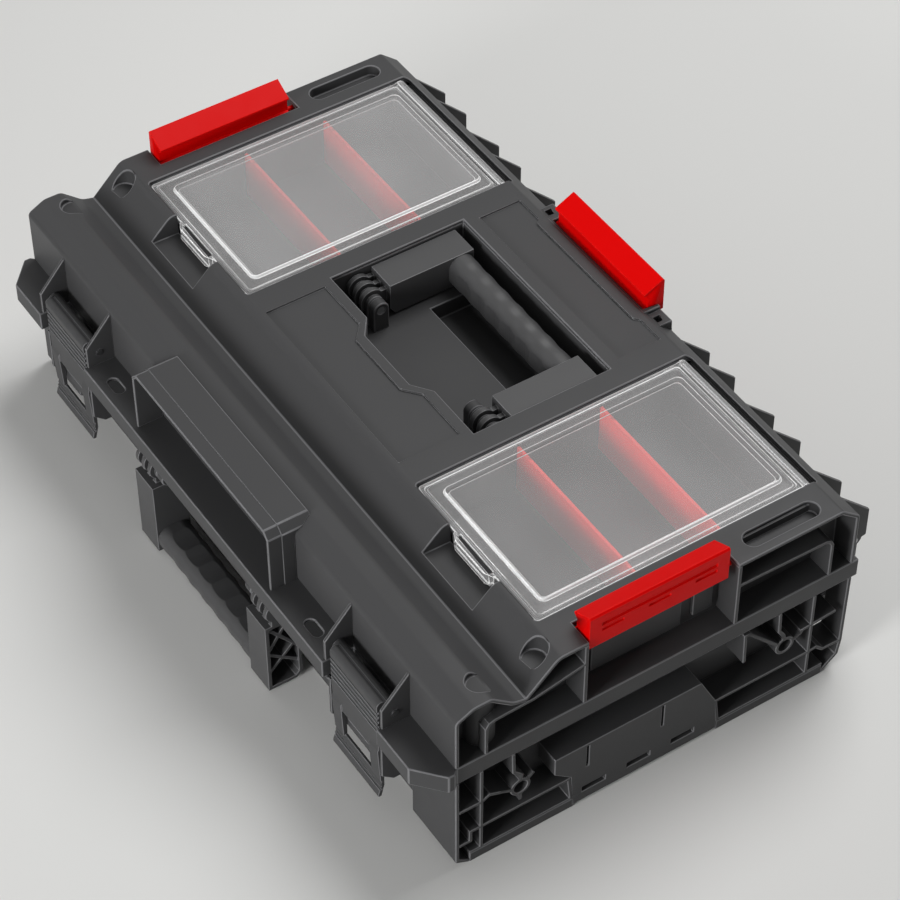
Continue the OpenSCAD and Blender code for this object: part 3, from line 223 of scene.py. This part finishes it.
def rounded_copy(node, width, segments=2, bright=None):
    """Mesh of a CAD node with its flat faces joined and its sharp edges rounded: wide where there is
    room, narrow where there isn't. A face attribute named edge is 1 on the rounded edges, and on the
    faces that pass the test in bright. The finishes paint a lighter highlight colour where it is 1."""
    bm = bmesh.new()
    bm.from_mesh(frame["nodes"][node].data)
    bmesh.ops.remove_doubles(bm, verts=bm.verts, dist=WELD)
    bmesh.ops.dissolve_degenerate(bm, edges=bm.edges, dist=WELD)
    surface = BVHTree.FromBMesh(bm)
    bmesh.ops.dissolve_limit(bm, angle_limit=FLAT_ANGLE, verts=bm.verts, edges=bm.edges)
    # Mask of the painted highlight: the finishes give these faces a lighter colour
    mark = bm.faces.layers.float.new("edge")
    round_edges(bm, width, segments, mark)
    round_edges(bm, min(NARROW_EDGE, width), 1, mark)
    # A corner that ran away from the moulding goes back onto it
    for vert in bm.verts:
        spot, _, _, distance = surface.find_nearest(vert.co)
        if distance > STRAY * width:
            vert.co = spot
    bmesh.ops.triangulate(bm, faces=[f for f in bm.faces if len(f.verts) > 4])
    for face in bm.faces:
        face.smooth = True
        if bright and bright(face):
            face[mark] = 1.0
    settle_order(bm)
    mesh = bpy.data.meshes.new(node + "_moulding")
    bm.to_mesh(mesh)
    bm.free()
    return mesh


def place(mesh, body, material, stands_for=()):
    """Object of a finished mesh that rides on a body and stands for CAD nodes."""
    piece = bpy.data.objects.new(mesh.name, mesh)
    bpy.context.scene.collection.objects.link(piece)
    mesh.materials.append(material)
    smoothing = piece.modifiers.new("even_normals", "WEIGHTED_NORMAL")
    smoothing.weight = 80
    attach(piece, body)
    if stands_for:
        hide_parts(*stands_for)
    return piece


def mould(node, width, material, bright=None):
    """A rounded moulding in the place of one CAD node."""
    mesh = rounded_copy(node, width, bright=bright)
    return place(mesh, body_with(node), material, [node])


def press_waves(mesh, node, pitch, depth, skin):
    """Presses finger waves along X into the outside of a grip, deepest at its six finger hollows.
    Points deeper than skin under the grip's box belong to its bore and stay."""
    low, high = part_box(node)
    centre, half = (low + high) / 2, (high - low) / 2
    bm = bmesh.new()
    bm.from_mesh(mesh)
    mark = bm.faces.layers.float["edge"]
    steps_per_wave, waves_per_side = 8, 3
    for i in range(-waves_per_side * steps_per_wave, waves_per_side * steps_per_wave + 1):
        bmesh.ops.bisect_plane(bm, geom=[*bm.verts, *bm.edges, *bm.faces], dist=TOUCHING,
                               plane_co=(i * pitch / steps_per_wave, 0, 0), plane_no=(1, 0, 0))
    for vert in bm.verts:
        away = Vector((0, vert.co.y - centre.y, vert.co.z - centre.z))
        in_bore = abs(away.y) < half.y - skin and abs(away.z) < half.z - skin
        if abs(vert.co.x) >= waves_per_side * pitch or in_bore:
            continue
        press = depth * (0.5 - 0.5 * math.cos(2 * math.pi * vert.co.x / pitch))
        vert.co -= away.normalized() * press
    # A grip is one colour all over, with no painted highlight on its edges
    for face in bm.faces:
        face[mark] = 0.0
    settle_order(bm)
    bm.to_mesh(mesh)
    bm.free()


# Finishes


def edge_highlight(material, colour, highlight_colour):
    """The mask of the painted highlight on the rounded edges, and the colour that turns to the
    lighter highlight colour there.
    """
    rounded = add_node(material, "ShaderNodeAttribute", attribute_name="edge")
    tint = add_node(material, "ShaderNodeMix", [("Factor", rounded.outputs["Fac"])],
                    data_type="RGBA")
    tint.inputs["A"].default_value = linear(colour)
    tint.inputs["B"].default_value = linear(highlight_colour)
    return rounded, tint


def moulded_polypropylene(name, colour, highlight_colour, roughness, gloss_level=0.22):
    """Injection-moulded polypropylene with a fine spark-eroded skin: a dark, even grey that is dull
    face on, with a painted highlight of lighter grey on its rounded edges."""
    material, output = new_material(name)
    place_in_space = add_node(material, "ShaderNodeTexCoord").outputs["Object"]
    # Skin of about 0.4 mm grain. It is drawn at 1.1 mm, because finer grain is lost in the picture.
    grain = add_node(material, "ShaderNodeTexNoise", [("Vector", place_in_space)],
                     inputs={"Scale": 1 / (1.1 * MM), "Detail": 2.0, "Roughness": 0.6})
    # Cloudy handling marks, 60 mm across, that only change the gloss
    marks = add_node(material, "ShaderNodeTexNoise", [("Vector", place_in_space)],
                     inputs={"Scale": 1 / (60 * MM), "Detail": 3.0, "Roughness": 0.55})
    gloss = add_node(material, "ShaderNodeMapRange", [("Value", marks.outputs["Fac"])],
                     inputs={"From Min": 0.3, "From Max": 0.7, "To Min": roughness - 0.05,
                             "To Max": roughness + 0.06})
    _, tint = edge_highlight(material, colour, highlight_colour)
    bump = add_node(material, "ShaderNodeBump", [("Height", grain.outputs["Fac"])],
                    inputs={"Strength": 0.22, "Distance": 0.12 * MM})
    skin = add_node(material, "ShaderNodeBsdfPrincipled",
                    [("Base Color", tint.outputs["Result"]), ("Roughness", gloss.outputs["Result"]),
                     ("Normal", bump.outputs["Normal"])],
                    inputs={"IOR": 1.49, "Specular IOR Level": gloss_level})
    material.node_tree.links.new(skin.outputs["BSDF"], output.inputs["Surface"])
    return material


def red_abs(name, colour, highlight_colour):
    """Smooth injection-moulded ABS, dyed signal red: a deep clean colour with a weak satin
    highlight, which keeps it from turning pink. Its rounded edges carry a painted highlight of
    lighter red."""
    material, output = new_material(name)
    place_in_space = add_node(material, "ShaderNodeTexCoord").outputs["Object"]
    # Flow marks of the moulding, 25 mm across and very faint
    flow = add_node(material, "ShaderNodeTexNoise", [("Vector", place_in_space)],
                    inputs={"Scale": 1 / (25 * MM), "Detail": 2.0})
    gloss = add_node(material, "ShaderNodeMapRange", [("Value", flow.outputs["Fac"])],
                     inputs={"From Min": 0.3, "From Max": 0.7, "To Min": 0.33, "To Max": 0.41})
    _, tint = edge_highlight(material, colour, highlight_colour)
    skin = add_node(material, "ShaderNodeBsdfPrincipled",
                    [("Base Color", tint.outputs["Result"]),
                     ("Roughness", gloss.outputs["Result"])],
                    inputs={"IOR": 1.53, "Specular IOR Level": 0.05})
    material.node_tree.links.new(skin.outputs["BSDF"], output.inputs["Surface"])
    return material


def clear_polycarbonate(name, colour, highlight_colour):
    """Polycarbonate cover with a milky veil. Its rounded edges and low walls carry a painted
    highlight: near white and nearly opaque, so they hide what is behind them."""
    material, output = new_material(name)
    place_in_space = add_node(material, "ShaderNodeTexCoord").outputs["Object"]
    rounded, tint = edge_highlight(material, colour, highlight_colour)
    # Veil that varies a little over 80 mm
    cloud = add_node(material, "ShaderNodeTexNoise", [("Vector", place_in_space)],
                     inputs={"Scale": 1 / (80 * MM), "Detail": 1.0})
    veil = add_node(material, "ShaderNodeMapRange", [("Value", cloud.outputs["Fac"])],
                    inputs={"From Min": 0.3, "From Max": 0.7, "To Min": 0.15, "To Max": 0.17})
    # Painted highlight: on the marked faces the cover turns nearly opaque, so their near-white
    # colour shows
    cover = add_node(material, "ShaderNodeMix",
                     [("Factor", rounded.outputs["Fac"]), ("A", veil.outputs["Result"])],
                     data_type="FLOAT", inputs={"B": 0.94})
    skin = add_node(material, "ShaderNodeBsdfPrincipled",
                    [("Base Color", tint.outputs["Result"]), ("Alpha", cover.outputs["Result"])],
                    inputs={"Roughness": 0.22, "IOR": 1.58})
    material.node_tree.links.new(skin.outputs["BSDF"], output.inputs["Surface"])
    return material


def drawn_steel(name, colour):
    """Drawn steel pin stock: grey metal with a soft stretched highlight."""
    material, output = new_material(name)
    place_in_space = add_node(material, "ShaderNodeTexCoord").outputs["Object"]
    # Draw lines along X, 0.5 mm apart
    lines = add_node(material, "ShaderNodeMapping", [("Vector", place_in_space)])
    lines.inputs["Scale"].default_value = (4, 1 / (0.5 * MM), 1 / (0.5 * MM))
    streaks = add_node(material, "ShaderNodeTexNoise", [("Vector", lines.outputs["Vector"])],
                       inputs={"Scale": 1.0, "Detail": 1.0})
    gloss = add_node(material, "ShaderNodeMapRange", [("Value", streaks.outputs["Fac"])],
                     inputs={"From Min": 0.3, "From Max": 0.7, "To Min": 0.3, "To Max": 0.42})
    skin = add_node(material, "ShaderNodeBsdfPrincipled", [("Roughness", gloss.outputs["Result"])],
                    inputs={"Metallic": 1.0, "Base Color": linear(colour)})
    material.node_tree.links.new(skin.outputs["BSDF"], output.inputs["Surface"])
    return material


def seal_rubber(name, colour):
    """Extruded rubber seal: near black and matt, with a faint pebbled skin."""
    material, output = new_material(name)
    place_in_space = add_node(material, "ShaderNodeTexCoord").outputs["Object"]
    # Pebbles of 0.8 mm
    pebbles = add_node(material, "ShaderNodeTexNoise", [("Vector", place_in_space)],
                       inputs={"Scale": 1 / (0.8 * MM), "Detail": 1.0})
    bump = add_node(material, "ShaderNodeBump", [("Height", pebbles.outputs["Fac"])],
                    inputs={"Strength": 0.3, "Distance": 0.1 * MM})
    skin = add_node(material, "ShaderNodeBsdfPrincipled", [("Normal", bump.outputs["Normal"])],
                    inputs={"Base Color": linear(colour), "Roughness": 0.8, "IOR": 1.52})
    material.node_tree.links.new(skin.outputs["BSDF"], output.inputs["Surface"])
    return material


FINISHES = {}


def finish_of(name):
    """The shared material of that name, made when it is first asked for."""
    colours = bpy.context.scene.tool_case_colours
    makers = {
        "moulded_polypropylene": lambda: moulded_polypropylene(
            "moulded_polypropylene", hex_of(colours.case), hex_of(colours.case_edge),
            roughness=0.5),
        "grip_polypropylene": lambda: moulded_polypropylene(
            "grip_polypropylene", hex_of(colours.grip), hex_of(colours.grip_highlight),
            roughness=0.42, gloss_level=0.35),
        "signal_red_abs": lambda: red_abs(
            "signal_red_abs", hex_of(colours.red), hex_of(colours.red_highlight)),
        "divider_red_abs": lambda: red_abs(
            "divider_red_abs", hex_of(colours.divider), hex_of(colours.divider_highlight)),
        "milky_polycarbonate": lambda: clear_polycarbonate(
            "milky_polycarbonate", hex_of(colours.cover), hex_of(colours.cover_edge)),
        "drawn_steel": lambda: drawn_steel("drawn_steel", hex_of(colours.steel)),
        "seal_rubber": lambda: seal_rubber("seal_rubber", hex_of(colours.rubber)),
    }
    if name not in FINISHES:
        FINISHES[name] = makers[name]()
    return FINISHES[name]


def hex_of(colour):
    """sRGB hex text of a colour property that holds sRGB values."""
    return "#" + "".join(f"{round(c * 255):02x}" for c in colour)


def srgb(hex_colour):
    """Default of a colour property from its sRGB hex value."""
    return [int(hex_colour[i:i + 2], 16) / 255 for i in (1, 3, 5)]


class ToolCaseColours(bpy.types.PropertyGroup):
    """Colours of the case, as sRGB values"""

    case: FloatVectorProperty(name="Case", description="Moulded faces of base, lid and latches",
                              subtype="COLOR_GAMMA", default=srgb("#424243"))
    # Painted highlight: the lighter grey painted on the rounded edges of base, lid and latches
    case_edge: FloatVectorProperty(name="Case edges",
                                   description="Rounded edges of base, lid and latches",
                                   subtype="COLOR_GAMMA", default=srgb("#707072"))
    grip: FloatVectorProperty(name="Handles", description="Arms and grips of both handles",
                              subtype="COLOR_GAMMA", default=srgb("#454546"))
    # Painted highlight: the lighter grey painted on the handles' rounded edges
    grip_highlight: FloatVectorProperty(name="Handle edges", description="Rounded edges of both handles",
                                   subtype="COLOR_GAMMA", default=srgb("#747476"))
    red: FloatVectorProperty(name="Red", description="Clips and rods",
                             subtype="COLOR_GAMMA", default=srgb("#dc0404"))
    # Painted highlight: the lighter red painted on the rounded edges of clips and rods
    red_highlight: FloatVectorProperty(name="Red edges", description="Rounded edges of clips and rods",
                                  subtype="COLOR_GAMMA", default=srgb("#e41412"))
    divider: FloatVectorProperty(name="Dividers", description="Faces of the dividers",
                                 subtype="COLOR_GAMMA", default=srgb("#ff2824"))
    # Painted highlight: the lighter red painted on the dividers' top faces and rounded edges
    divider_highlight: FloatVectorProperty(name="Divider edges",
                                      description="Bright top edges of the dividers",
                                      subtype="COLOR_GAMMA", default=srgb("#ff4c48"))
    cover: FloatVectorProperty(name="Covers", description="Milky veil of the clear covers",
                               subtype="COLOR_GAMMA", default=srgb("#f2f2f2"))
    # Painted highlight: the near white painted on the covers' rounded edges and low walls
    cover_edge: FloatVectorProperty(name="Cover edges",
                                    description="Bright edges of the clear covers",
                                    subtype="COLOR_GAMMA", default=srgb("#fafafa"))
    steel: FloatVectorProperty(name="Pins", description="Steel of the pins",
                               subtype="COLOR_GAMMA", default=srgb("#9a9a9c"))
    rubber: FloatVectorProperty(name="Seal", description="Rubber of the rim seal",
                                subtype="COLOR_GAMMA", default=srgb("#1c1c1c"))
    floor: FloatVectorProperty(name="Floor", description="Floor and backdrop",
                               subtype="COLOR_GAMMA", default=srgb("#e4e4e2"))


class ToolCaseSizes(bpy.types.PropertyGroup):
    """Sizes of the finishing touches"""

    case_edge: FloatProperty(name="Case edge radius", description="Rounding of the case's edges",
                             default=0.9 * MM, min=0, subtype="DISTANCE", unit="LENGTH")
    rib_edge: FloatProperty(name="Rib edge radius", description="Rounding of the ribs' edges",
                            default=0.6 * MM, min=0, subtype="DISTANCE", unit="LENGTH")
    small_edge: FloatProperty(name="Small edge radius",
                              description="Rounding of small parts' edges",
                              default=0.4 * MM, min=0, subtype="DISTANCE", unit="LENGTH")
    cover_edge: FloatProperty(name="Cover edge radius", description="Rounding of the covers' edges",
                              default=0.8 * MM, min=0, subtype="DISTANCE", unit="LENGTH")
    wave_pitch: FloatProperty(name="Finger pitch",
                              description="Distance between the grips' hollows",
                              default=19 * MM, min=0, subtype="DISTANCE", unit="LENGTH")
    wave_depth: FloatProperty(name="Finger depth", description="Depth of the waves in the grips",
                              default=0.6 * MM, min=0, subtype="DISTANCE", unit="LENGTH")
    wave_skin: FloatProperty(name="Grip skin",
                             description="Thickness of the grips round their bore",
                             default=4 * MM, min=0, subtype="DISTANCE", unit="LENGTH")
    camera_turn: FloatProperty(name="Camera turn", description="Angle of the camera round the case",
                               default=math.radians(56.950), subtype="ANGLE", unit="ROTATION")
    camera_rise: FloatProperty(name="Camera rise",
                               description="Angle of the camera above the floor",
                               default=math.radians(46.336), subtype="ANGLE", unit="ROTATION")
    camera_roll: FloatProperty(name="Camera roll", description="Tilt of the picture",
                               default=math.radians(0.221), subtype="ANGLE", unit="ROTATION")
    camera_distance: FloatProperty(name="Camera distance", description="From the camera to its aim",
                                   default=2.14586, subtype="DISTANCE", unit="LENGTH")


# Operators


class TOOLCASE_OT_base(bpy.types.Operator):
    """Rounds and colours the mouldings of the base"""

    bl_idname = "toolcase.base"
    bl_label = "Base"

    def execute(self, context):
        sizes = context.scene.tool_case_sizes
        for node in BASE_NODES:
            width = sizes.rib_edge if node in RIB_NODES else sizes.case_edge
            mould(node, width, finish_of("moulded_polypropylene"))
        return {"FINISHED"}


class TOOLCASE_OT_lid(bpy.types.Operator):
    """Rounds and colours the mouldings of the lid"""

    bl_idname = "toolcase.lid"
    bl_label = "Lid"

    def execute(self, context):
        sizes = context.scene.tool_case_sizes
        for node in LID_NODES:
            width = sizes.rib_edge if node in RIB_NODES else sizes.case_edge
            mould(node, width, finish_of("moulded_polypropylene"))
        return {"FINISHED"}


class TOOLCASE_OT_handles(bpy.types.Operator):
    """Rounds and colours both handles"""

    bl_idname = "toolcase.handles"
    bl_label = "Handles"

    def execute(self, context):
        sizes = context.scene.tool_case_sizes
        for node in ("front_handle", "top_handle"):
            mould(node, sizes.small_edge, finish_of("grip_polypropylene"))
        for node in ("front_grip", "top_grip"):
            grip = mould(node, sizes.small_edge, finish_of("grip_polypropylene"))
            press_waves(grip.data, node, sizes.wave_pitch, sizes.wave_depth, sizes.wave_skin)
        return {"FINISHED"}


class TOOLCASE_OT_latches(bpy.types.Operator):
    """Rounds and colours the front latches"""

    bl_idname = "toolcase.latches"
    bl_label = "Latches"

    def execute(self, context):
        sizes = context.scene.tool_case_sizes
        for node in ("latch_left", "latch_right"):
            mould(node, sizes.small_edge, finish_of("moulded_polypropylene"))
        return {"FINISHED"}


class TOOLCASE_OT_clips(bpy.types.Operator):
    """Rounds and colours the stacking clips and their rods"""

    bl_idname = "toolcase.clips"
    bl_label = "Stacking clips"

    def execute(self, context):
        sizes = context.scene.tool_case_sizes
        for node in ("clip_left", "clip_right", "clip_rear"):
            mould(node, sizes.small_edge, finish_of("signal_red_abs"))
        for node in ROD_NODES:
            mould(node, sizes.small_edge, finish_of("signal_red_abs"))
        return {"FINISHED"}


class TOOLCASE_OT_dividers(bpy.types.Operator):
    """Rounds and colours the organiser's dividers"""

    bl_idname = "toolcase.dividers"
    bl_label = "Dividers"

    def execute(self, context):
        sizes = context.scene.tool_case_sizes
        for node in DIVIDER_NODES:
            # The top faces get the painted highlight as well as the rounded edges
            mould(node, sizes.small_edge, finish_of("divider_red_abs"),
                  bright=looks_up)
        return {"FINISHED"}


class TOOLCASE_OT_covers(bpy.types.Operator):
    """Rounds and colours the clear covers"""

    bl_idname = "toolcase.covers"
    bl_label = "Clear covers"

    def execute(self, context):
        sizes = context.scene.tool_case_sizes
        for node in ("cover_left", "cover_right"):
            mould(node, sizes.cover_edge, finish_of("milky_polycarbonate"),
                  bright=is_low_wall)
        return {"FINISHED"}


class TOOLCASE_OT_pins(bpy.types.Operator):
    """Gives the pins their steel and the seal its rubber"""

    bl_idname = "toolcase.pins"
    bl_label = "Pins and seal"

    def execute(self, context):
        for node in PIN_NODES:
            paint(frame["nodes"][node], finish_of("drawn_steel"))
        paint(frame["nodes"]["rim_seal"], finish_of("seal_rubber"))
        return {"FINISHED"}


def paint(node_object, material):
    """Gives a CAD node one material."""
    node_object.data.materials.clear()
    node_object.data.materials.append(material)


class TOOLCASE_OT_studio(bpy.types.Operator):
    """Builds the floor, the soft lamps and the camera"""

    bl_idname = "toolcase.studio"
    bl_label = "Studio"

    def execute(self, context):
        scene = context.scene
        scene.view_settings.view_transform = "Standard"
        add_floor(scene)
        add_lamps(scene)
        add_camera(scene)
        return {"FINISHED"}


def add_floor(scene):
    """A wide pale disc under the case. Near the case it takes light and shadow, and further out the
    camera sees it fade into the pale wall, so no horizon shows."""
    bm = bmesh.new()
    bmesh.ops.create_circle(bm, cap_ends=True, segments=96, radius=9)
    mesh = bpy.data.meshes.new("studio_floor")
    bm.to_mesh(mesh)
    bm.free()
    floor = bpy.data.objects.new("studio_floor", mesh)
    scene.collection.objects.link(floor)
    material, output = new_material("pale_studio_floor")
    colour = linear(hex_of(scene.tool_case_colours.floor))
    skin = add_node(material, "ShaderNodeBsdfPrincipled",
                    inputs={"Base Color": colour, "Roughness": 0.85})
    wall = add_node(material, "ShaderNodeEmission",
                    inputs={"Color": colour, "Strength": WALL_STRENGTH})
    place_in_space = add_node(material, "ShaderNodeTexCoord").outputs["Object"]
    distance = add_node(material, "ShaderNodeVectorMath", [(0, place_in_space)], operation="LENGTH")
    fade = add_node(material, "ShaderNodeMapRange", [("Value", distance.outputs["Value"])],
                    interpolation_type="SMOOTHSTEP", inputs={"From Min": 0.7, "From Max": 2.0})
    rays = add_node(material, "ShaderNodeLightPath").outputs
    seen = add_node(material, "ShaderNodeMath",
                    [(0, fade.outputs["Result"]), (1, rays["Is Camera Ray"])], operation="MULTIPLY")
    choice = add_node(material, "ShaderNodeMixShader",
                      [(0, seen.outputs[0]), (1, skin.outputs["BSDF"]), (2, wall.outputs[0])])
    material.node_tree.links.new(choice.outputs[0], output.inputs["Surface"])
    mesh.materials.append(material)


def add_lamps(scene):
    """A large soft box above and behind, a low lamp in front that lights upright faces more than
    flat ones, a weak one on the left, and an even pale world."""
    # Name, place, size in metres, power in watts, spread of the beam in degrees
    lamps = (
        ("overhead", (-0.3, 1.1, 2.2), 1.6, 40.0, 180),
        ("left_side", (-2.4, -0.6, 1.3), 1.6, 4.0, 180),
        ("front_key", (0.7, -2.5, 0.75), 0.9, 8.0, 70),
    )
    for name, spot, size, power, spread in lamps:
        lamp = bpy.data.lights.new(name, "AREA")
        lamp.shape = "DISK"
        lamp.size = size
        lamp.energy = power
        lamp.spread = math.radians(spread)
        holder = bpy.data.objects.new(name, lamp)
        holder.location = spot
        holder.rotation_mode = "QUATERNION"
        holder.rotation_quaternion = (Vector(spot) - LAMP_AIM).to_track_quat("Z", "Y")
        scene.collection.objects.link(holder)
    world = bpy.data.worlds.new("studio_world")
    world.use_nodes = True
    light = world.node_tree.nodes["Background"]
    light.inputs["Color"].default_value = linear("#f2f2f2")
    light.inputs["Strength"].default_value = 0.17
    # What the camera, gloss and clear plastic see is a pale wall, apart from the light it gives
    wall = add_node(world, "ShaderNodeBackground",
                    inputs={"Color": linear(hex_of(scene.tool_case_colours.floor)),
                            "Strength": WALL_STRENGTH})
    rays = add_node(world, "ShaderNodeLightPath").outputs
    seen = rays["Is Camera Ray"]
    for kind in ("Is Glossy Ray", "Is Transmission Ray"):
        seen = add_node(world, "ShaderNodeMath", [(0, seen), (1, rays[kind])],
                        operation="MAXIMUM").outputs[0]
    choice = add_node(world, "ShaderNodeMixShader",
                      [(0, seen), (1, light.outputs[0]), (2, wall.outputs[0])])
    output = world.node_tree.nodes["World Output"]
    world.node_tree.links.new(choice.outputs[0], output.inputs["Surface"])
    scene.world = world


def add_camera(scene):
    """The camera at the photo's angle, with the case framed as it is there."""
    sizes = scene.tool_case_sizes
    back = Vector((math.sin(sizes.camera_turn) * math.cos(sizes.camera_rise),
                   -math.cos(sizes.camera_turn) * math.cos(sizes.camera_rise),
                   math.sin(sizes.camera_rise)))
    right = Vector((math.cos(sizes.camera_turn), math.sin(sizes.camera_turn), 0))
    turn = Matrix((right, back.cross(right), back)).transposed()
    turn = turn @ Matrix.Rotation(-sizes.camera_roll, 3, "Z")
    lens = bpy.data.cameras.new("camera")
    lens.sensor_width = 36
    lens.lens = 119.9
    lens.clip_end = 30
    camera = bpy.data.objects.new("camera", lens)
    camera.matrix_world = Matrix.Translation(
        CAMERA_AIM + back * sizes.camera_distance) @ turn.to_4x4()
    scene.collection.objects.link(camera)
    scene.camera = camera


class TOOLCASE_PT_panel(bpy.types.Panel):
    """Lists the steps that finish the case"""

    bl_idname = "TOOLCASE_PT_panel"
    bl_label = "Tool case"
    bl_space_type = "VIEW_3D"
    bl_region_type = "UI"
    bl_category = "Tool case"

    def draw(self, context):
        for group in (context.scene.tool_case_colours, context.scene.tool_case_sizes):
            box = self.layout.box()
            for name in group.__annotations__:
                box.prop(group, name)
        for operator in STEPS:
            self.layout.operator(operator.bl_idname)


STEPS = (TOOLCASE_OT_base, TOOLCASE_OT_lid, TOOLCASE_OT_handles, TOOLCASE_OT_latches,
         TOOLCASE_OT_clips, TOOLCASE_OT_dividers, TOOLCASE_OT_covers, TOOLCASE_OT_pins,
         TOOLCASE_OT_studio)
CLASSES = (ToolCaseColours, ToolCaseSizes, *STEPS, TOOLCASE_PT_panel)


def register():
    for cls in CLASSES:
        bpy.utils.register_class(cls)
    bpy.types.Scene.tool_case_colours = PointerProperty(type=ToolCaseColours)
    bpy.types.Scene.tool_case_sizes = PointerProperty(type=ToolCaseSizes)


def unregister():
    del bpy.types.Scene.tool_case_sizes
    del bpy.types.Scene.tool_case_colours
    for cls in reversed(CLASSES):
        bpy.utils.unregister_class(cls)


def main():
    """Runs every step in order."""
    register()
    bpy.ops.toolcase.base()
    bpy.ops.toolcase.lid()
    bpy.ops.toolcase.handles()
    bpy.ops.toolcase.latches()
    bpy.ops.toolcase.clips()
    bpy.ops.toolcase.dividers()
    bpy.ops.toolcase.covers()
    bpy.ops.toolcase.pins()
    bpy.ops.toolcase.studio()


if __name__ == "__main__":
    main()
